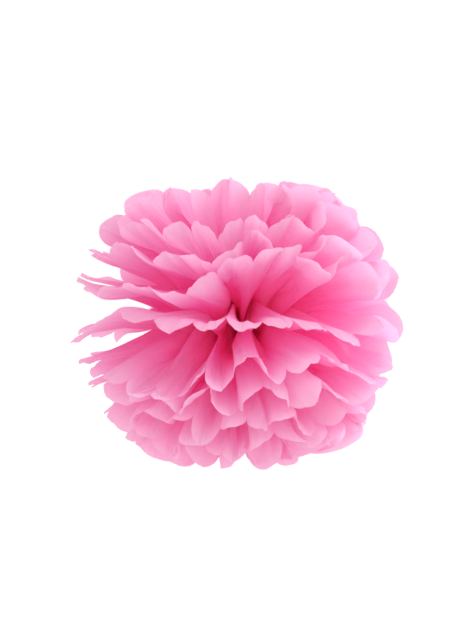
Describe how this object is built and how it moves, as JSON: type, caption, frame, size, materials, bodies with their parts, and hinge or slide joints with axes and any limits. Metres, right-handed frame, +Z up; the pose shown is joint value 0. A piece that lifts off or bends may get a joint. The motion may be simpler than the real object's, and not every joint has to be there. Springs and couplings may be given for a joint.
{
  "type": "tissue paper pom-pom",
  "caption": "Round hanging party decoration of pleated pink tissue sheets tied at the middle, their rounded ends fanned out into a ball.",
  "frame": {"origin": "middle of the tied stack of sheets, which is the centre of the ball", "axes": "+Z up along the hanging thread; the leaves fan out towards -Y (front) and +Y (back), and the seam between the two fans is the XZ plane"},
  "size_m": [0.2414, 0.2496, 0.2212],
  "materials": {
    "tissue": "matte",
    "wire": "satin"
  },
  "bodies": {
    "tied_stack": {"sheet_01_waist": "tissue", "sheet_02_waist": "tissue", "sheet_03_waist": "tissue", "sheet_04_waist": "tissue", "sheet_05_waist": "tissue", "sheet_06_waist": "tissue", "sheet_07_waist": "tissue", "sheet_08_waist": "tissue", "sheet_09_waist": "tissue", "sheet_10_waist": "tissue", "tie_wire": "wire"},
    "sheet_01_front": {"sheet_01_front_leaf": "tissue"},
    "sheet_01_back": {"sheet_01_back_leaf": "tissue"},
    "sheet_02_front": {"sheet_02_front_leaf": "tissue"},
    "sheet_02_back": {"sheet_02_back_leaf": "tissue"},
    "sheet_03_front": {"sheet_03_front_leaf": "tissue"},
    "sheet_03_back": {"sheet_03_back_leaf": "tissue"},
    "sheet_04_front": {"sheet_04_front_leaf": "tissue"},
    "sheet_04_back": {"sheet_04_back_leaf": "tissue"},
    "sheet_05_front": {"sheet_05_front_leaf": "tissue"},
    "sheet_05_back": {"sheet_05_back_leaf": "tissue"},
    "sheet_06_front": {"sheet_06_front_leaf": "tissue"},
    "sheet_06_back": {"sheet_06_back_leaf": "tissue"},
    "sheet_07_front": {"sheet_07_front_leaf": "tissue"},
    "sheet_07_back": {"sheet_07_back_leaf": "tissue"},
    "sheet_08_front": {"sheet_08_front_leaf": "tissue"},
    "sheet_08_back": {"sheet_08_back_leaf": "tissue"},
    "sheet_09_front": {"sheet_09_front_leaf": "tissue"},
    "sheet_09_back": {"sheet_09_back_leaf": "tissue"},
    "sheet_10_front": {"sheet_10_front_leaf": "tissue"},
    "sheet_10_back": {"sheet_10_back_leaf": "tissue"}
  },
  "joints": [
    {"name": "sheet_01_front_flex", "type": "hinge", "parent": "tied_stack", "child": "sheet_01_front", "pos_m": [0, -0.0058, 0.00405], "axis": [-1, 0, 0], "range_deg": [-4, 4], "stiffness_Nm_per_rad": 0.03},
    {"name": "sheet_01_back_flex", "type": "hinge", "parent": "tied_stack", "child": "sheet_01_back", "pos_m": [0, 0.0058, 0.00405], "axis": [1, 0, 0], "range_deg": [-4, 4], "stiffness_Nm_per_rad": 0.03},
    {"name": "sheet_02_front_flex", "type": "hinge", "parent": "tied_stack", "child": "sheet_02_front", "pos_m": [0, -0.0063, 0.00315], "axis": [-1, 0, 0], "range_deg": [-4, 4], "stiffness_Nm_per_rad": 0.03},
    {"name": "sheet_02_back_flex", "type": "hinge", "parent": "tied_stack", "child": "sheet_02_back", "pos_m": [0, 0.0063, 0.00315], "axis": [1, 0, 0], "range_deg": [-4, 4], "stiffness_Nm_per_rad": 0.03},
    {"name": "sheet_03_front_flex", "type": "hinge", "parent": "tied_stack", "child": "sheet_03_front", "pos_m": [0, -0.0068, 0.00225], "axis": [-1, 0, 0], "range_deg": [-4, 4], "stiffness_Nm_per_rad": 0.03},
    {"name": "sheet_03_back_flex", "type": "hinge", "parent": "tied_stack", "child": "sheet_03_back", "pos_m": [0, 0.0068, 0.00225], "axis": [1, 0, 0], "range_deg": [-4, 4], "stiffness_Nm_per_rad": 0.03},
    {"name": "sheet_04_front_flex", "type": "hinge", "parent": "tied_stack", "child": "sheet_04_front", "pos_m": [0, -0.0073, 0.00135], "axis": [-1, 0, 0], "range_deg": [-4, 4], "stiffness_Nm_per_rad": 0.03},
    {"name": "sheet_04_back_flex", "type": "hinge", "parent": "tied_stack", "child": "sheet_04_back", "pos_m": [0, 0.0073, 0.00135], "axis": [1, 0, 0], "range_deg": [-4, 4], "stiffness_Nm_per_rad": 0.03},
    {"name": "sheet_05_front_flex", "type": "hinge", "parent": "tied_stack", "child": "sheet_05_front", "pos_m": [0, -0.0078, 0.00045], "axis": [-1, 0, 0], "range_deg": [-4, 4], "stiffness_Nm_per_rad": 0.03},
    {"name": "sheet_05_back_flex", "type": "hinge", "parent": "tied_stack", "child": "sheet_05_back", "pos_m": [0, 0.0078, 0.00045], "axis": [1, 0, 0], "range_deg": [-4, 4], "stiffness_Nm_per_rad": 0.03},
    {"name": "sheet_06_front_flex", "type": "hinge", "parent": "tied_stack", "child": "sheet_06_front", "pos_m": [0, -0.0078, -0.00045], "axis": [-1, 0, 0], "range_deg": [-4, 4], "stiffness_Nm_per_rad": 0.03},
    {"name": "sheet_06_back_flex", "type": "hinge", "parent": "tied_stack", "child": "sheet_06_back", "pos_m": [0, 0.0078, -0.00045], "axis": [1, 0, 0], "range_deg": [-4, 4], "stiffness_Nm_per_rad": 0.03},
    {"name": "sheet_07_front_flex", "type": "hinge", "parent": "tied_stack", "child": "sheet_07_front", "pos_m": [0, -0.0073, -0.00135], "axis": [-1, 0, 0], "range_deg": [-4, 4], "stiffness_Nm_per_rad": 0.03},
    {"name": "sheet_07_back_flex", "type": "hinge", "parent": "tied_stack", "child": "sheet_07_back", "pos_m": [0, 0.0073, -0.00135], "axis": [1, 0, 0], "range_deg": [-4, 4], "stiffness_Nm_per_rad": 0.03},
    {"name": "sheet_08_front_flex", "type": "hinge", "parent": "tied_stack", "child": "sheet_08_front", "pos_m": [0, -0.0068, -0.00225], "axis": [-1, 0, 0], "range_deg": [-4, 4], "stiffness_Nm_per_rad": 0.03},
    {"name": "sheet_08_back_flex", "type": "hinge", "parent": "tied_stack", "child": "sheet_08_back", "pos_m": [0, 0.0068, -0.00225], "axis": [1, 0, 0], "range_deg": [-4, 4], "stiffness_Nm_per_rad": 0.03},
    {"name": "sheet_09_front_flex", "type": "hinge", "parent": "tied_stack", "child": "sheet_09_front", "pos_m": [0, -0.0063, -0.00315], "axis": [-1, 0, 0], "range_deg": [-4, 4], "stiffness_Nm_per_rad": 0.03},
    {"name": "sheet_09_back_flex", "type": "hinge", "parent": "tied_stack", "child": "sheet_09_back", "pos_m": [0, 0.0063, -0.00315], "axis": [1, 0, 0], "range_deg": [-4, 4], "stiffness_Nm_per_rad": 0.03},
    {"name": "sheet_10_front_flex", "type": "hinge", "parent": "tied_stack", "child": "sheet_10_front", "pos_m": [0, -0.0058, -0.00405], "axis": [-1, 0, 0], "range_deg": [-4, 4], "stiffness_Nm_per_rad": 0.03},
    {"name": "sheet_10_back_flex", "type": "hinge", "parent": "tied_stack", "child": "sheet_10_back", "pos_m": [0, 0.0058, -0.00405], "axis": [1, 0, 0], "range_deg": [-4, 4], "stiffness_Nm_per_rad": 0.03}
  ]
}
